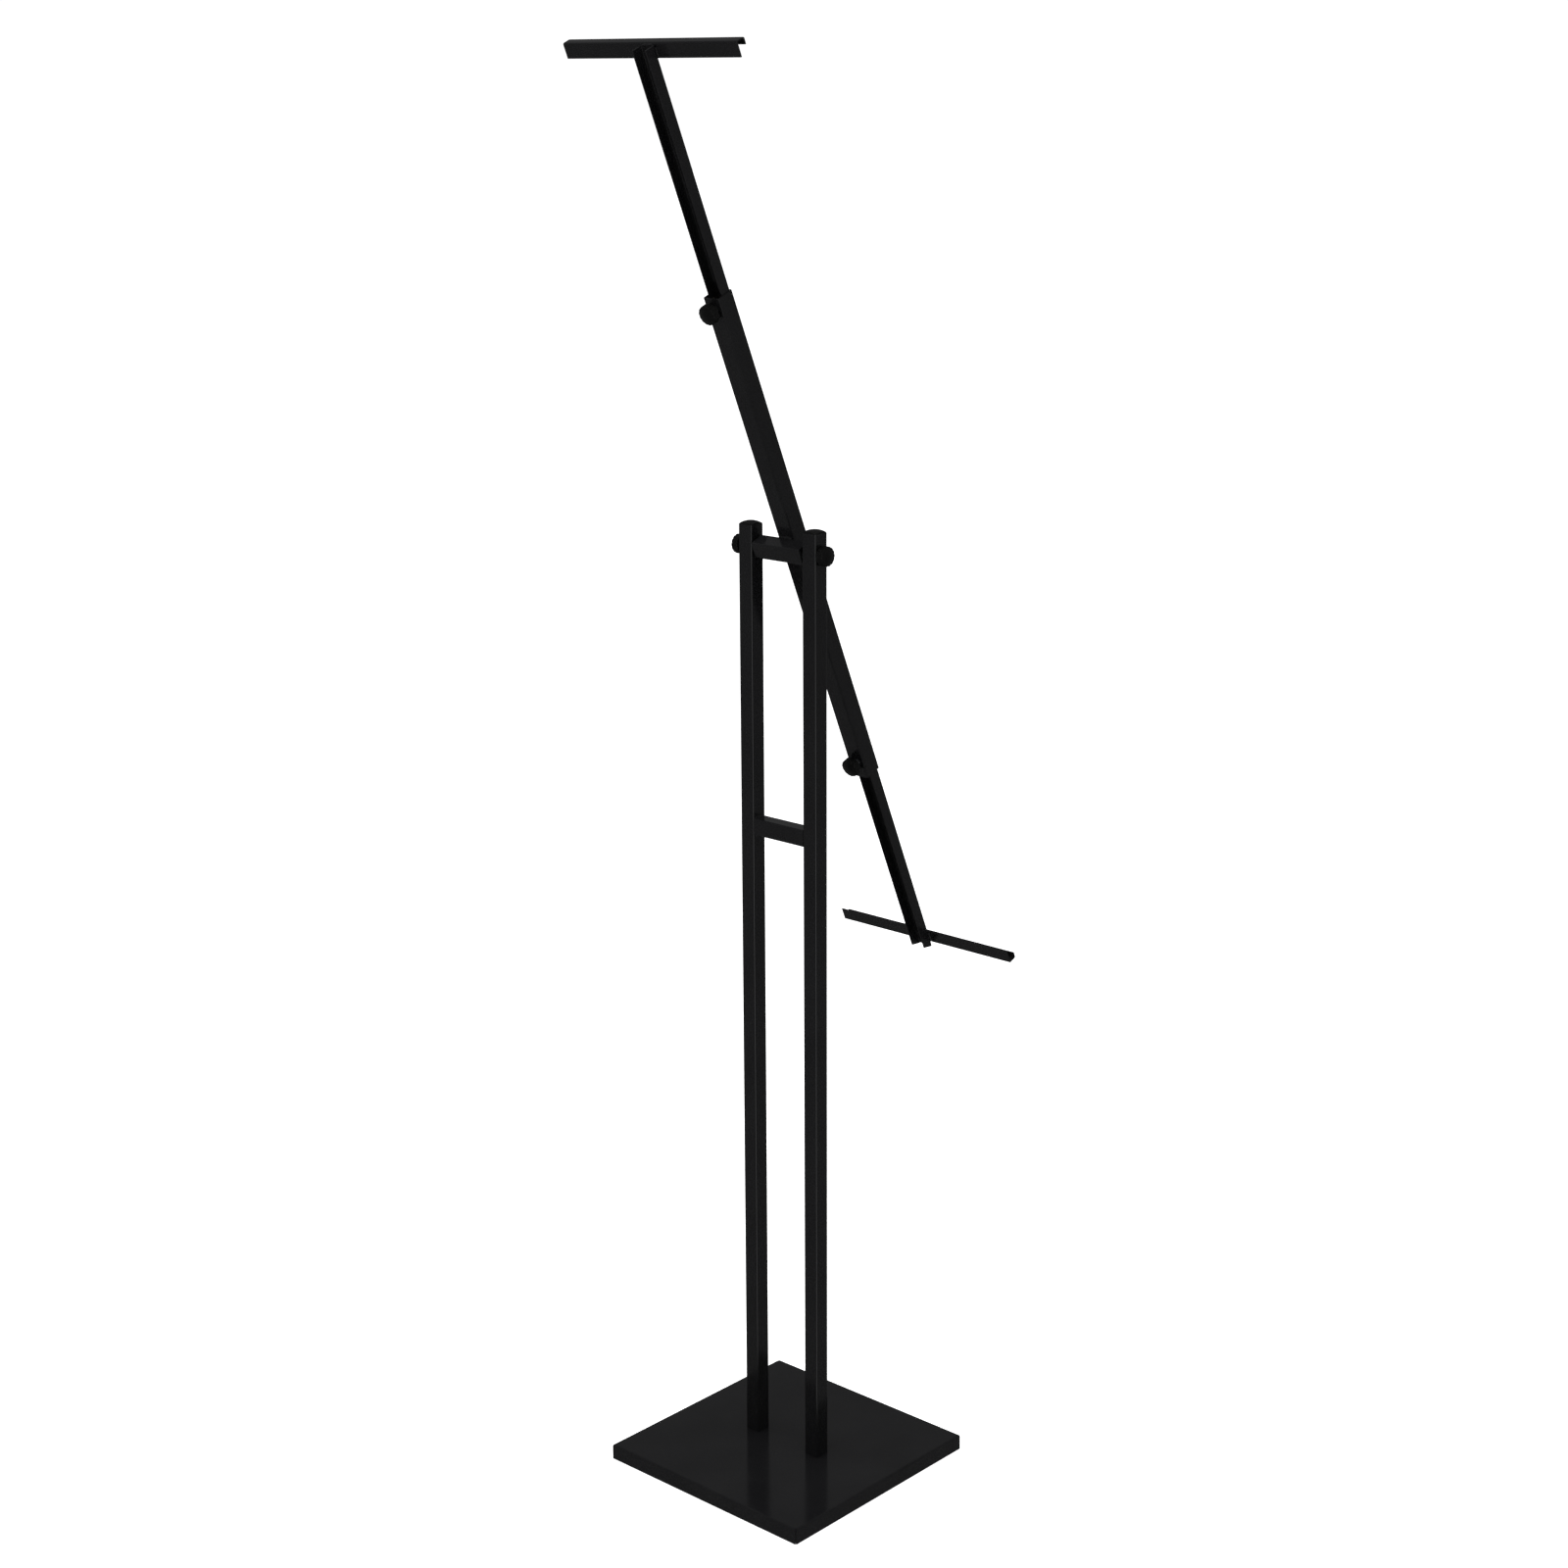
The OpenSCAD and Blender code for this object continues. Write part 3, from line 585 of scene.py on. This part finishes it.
for part in ("left_pole", "right_pole", "mid_rail", "pivot_bar", "spine_tube"):
    eased(part, COAT, 0.25 * MM)
for part in ("upper_arm", "lower_arm", "upper_cross_bar", "lower_cross_bar", "base_pan"):
    eased(part, COAT, 0.3 * MM)
for part in ("left_end_cap", "right_end_cap"):
    eased(part, CAP, 0.45 * MM, 25)
for part in ("left_friction_washer", "right_friction_washer", "left_pole_washer",
             "right_pole_washer"):
    eased(part, CAP, 0.2 * MM)
for part in ("upper_clamp_nut", "lower_clamp_nut", "foot_bolts", "foot_washers",
             "ballast_standoffs", "ballast_screws"):
    eased(part, ZINC, 0.25 * MM)
for part in ("base_ballast", "spreader_plate", "left_foot_block", "right_foot_block",
             "left_pivot_block", "right_pivot_block"):
    eased(part, MILL, 0.3 * MM)
for part in ("upper_clamp_tip", "lower_clamp_tip"):
    eased(part, TIP, 0.3 * MM)
eased("floor_pad", FOAM, 0.4 * MM)

# ---------------------------------------------------------------- floor, light and camera

FLOOR_REACH = 30
PAPER_GREY = (0.8, 0.8, 0.8, 1)
PAPER_GLOW = 0.8
WHITE = (1, 1, 1, 1)

floor_form = bmesh.new()
bmesh.ops.create_grid(floor_form, x_segments=1, y_segments=1, size=FLOOR_REACH)
floor_mesh = bpy.data.meshes.new("floor")
floor_form.to_mesh(floor_mesh)
floor_form.free()
floor = bpy.data.objects.new("floor", floor_mesh)
COLLECTION.objects.link(floor)
paper, paper_tree, paper_surface = finish("studio_paper", Roughness=0.9)[:3]
paper_surface.inputs["Base Color"].default_value = PAPER_GREY
paper_surface.inputs["Specular IOR Level"].default_value = 0.0
paper_surface.inputs["Emission Color"].default_value = WHITE
# The paper glows for the viewer only, so it stays white without lighting the undersides
seen_first = add(paper_tree, "ShaderNodeLightPath").outputs["Is Camera Ray"]
glow = add(paper_tree, "ShaderNodeMath", {0: seen_first, 1: PAPER_GLOW}, operation="MULTIPLY")
paper_tree.links.new(glow.outputs[0], paper_surface.inputs["Emission Strength"])
floor_mesh.materials.append(paper)
floor.visible_glossy = False

WALL_LOW, WALL_HIGH = 0.38, 0.66  # what lights the stand, below and above
GLOSS_DIM, GLOSS_PATCH = 0.1, 1.0  # what its gloss sees, away from the patch and in it
PATCH_WAY = (0.71, -0.65, -0.26)
BACKDROP = 1.05

world = bpy.data.worlds.new("studio")
bpy.context.scene.world = world
world.use_nodes = True
sky = world.node_tree
sky.nodes.clear()
path = add(sky, "ShaderNodeLightPath")
ray = add(sky, "ShaderNodeTexCoord").outputs["Generated"]
# The walls of the studio: paler above than below. Gloss sees them dim instead, with one pale
# round patch low down on the side that the knobs face
height = add(sky, "ShaderNodeSeparateXYZ", {0: ray})
wall = add(sky, "ShaderNodeMapRange", {"Value": height.outputs["Z"], "From Min": -0.4,
                                       "From Max": 0.5, "To Min": WALL_LOW,
                                       "To Max": WALL_HIGH})
toward = add(sky, "ShaderNodeVectorMath", {0: ray, 1: PATCH_WAY},
             operation="DOT_PRODUCT")
patch = add(sky, "ShaderNodeMapRange", {"Value": toward.outputs["Value"], "From Min": 0.9,
                                        "From Max": 0.97, "To Min": GLOSS_DIM,
                                        "To Max": GLOSS_PATCH})
seen = add(sky, "ShaderNodeBackground", {"Color": WHITE, "Strength": BACKDROP})
fill = add(sky, "ShaderNodeBackground", {"Color": WHITE,
                                         "Strength": wall.outputs["Result"]})
dim = add(sky, "ShaderNodeBackground", {"Color": WHITE,
                                        "Strength": patch.outputs["Result"]})
not_gloss = add(sky, "ShaderNodeMixShader", {0: path.outputs["Is Glossy Ray"],
                                             1: fill.outputs[0], 2: dim.outputs[0]})
both = add(sky, "ShaderNodeMixShader", {0: path.outputs["Is Camera Ray"],
                                        1: not_gloss.outputs[0], 2: seen.outputs[0]})
add(sky, "ShaderNodeOutputWorld", {0: both.outputs[0]})


def softbox(name, place, target, size, power):
    """A large rectangular lamp aimed at a point."""
    lamp = bpy.data.lights.new(name, "AREA")
    lamp.shape = "RECTANGLE"
    lamp.size, lamp.size_y = size
    lamp.energy = power
    made = bpy.data.objects.new(name, lamp)
    COLLECTION.objects.link(made)
    made.location = place
    made.rotation_euler = (Vector(target) - Vector(place)).to_track_quat("-Z", "Y").to_euler()
    made.visible_glossy = False


middle = (0, 0, 0.8)
eye = (2.0060, -2.1987, 1.6355)
softbox("overhead", (0.2, -0.3, 4.2), middle, (3.0, 3.0), 130)
softbox("left_bank", (-3.4, -1.6, 2.0), middle, (1.2, 2.6), 45)
softbox("front_bank", (1.0, -4.2, 2.4), middle, (1.4, 2.4), 30)

view = bpy.data.cameras.new("view")
view.sensor_width = 36
view.lens = 62.06
view.clip_end = 100
camera = bpy.data.objects.new("view", view)
COLLECTION.objects.link(camera)
yaw, pitch, roll = radians(42.367), radians(-14.870), radians(-0.284)
ahead = Vector((-sin(yaw) * cos(pitch), cos(yaw) * cos(pitch), sin(pitch)))
level = ahead.cross(Vector((0, 0, 1))).normalized()
top = level.cross(ahead)
across = cos(roll) * level + sin(roll) * top
above = -sin(roll) * level + cos(roll) * top
camera.matrix_world = (Matrix.Translation(eye)
                       @ Matrix((across, above, -ahead)).transposed().to_4x4())
bpy.context.scene.camera = camera
bpy.context.scene.view_settings.view_transform = "Standard"

bpy.context.view_layer.update()
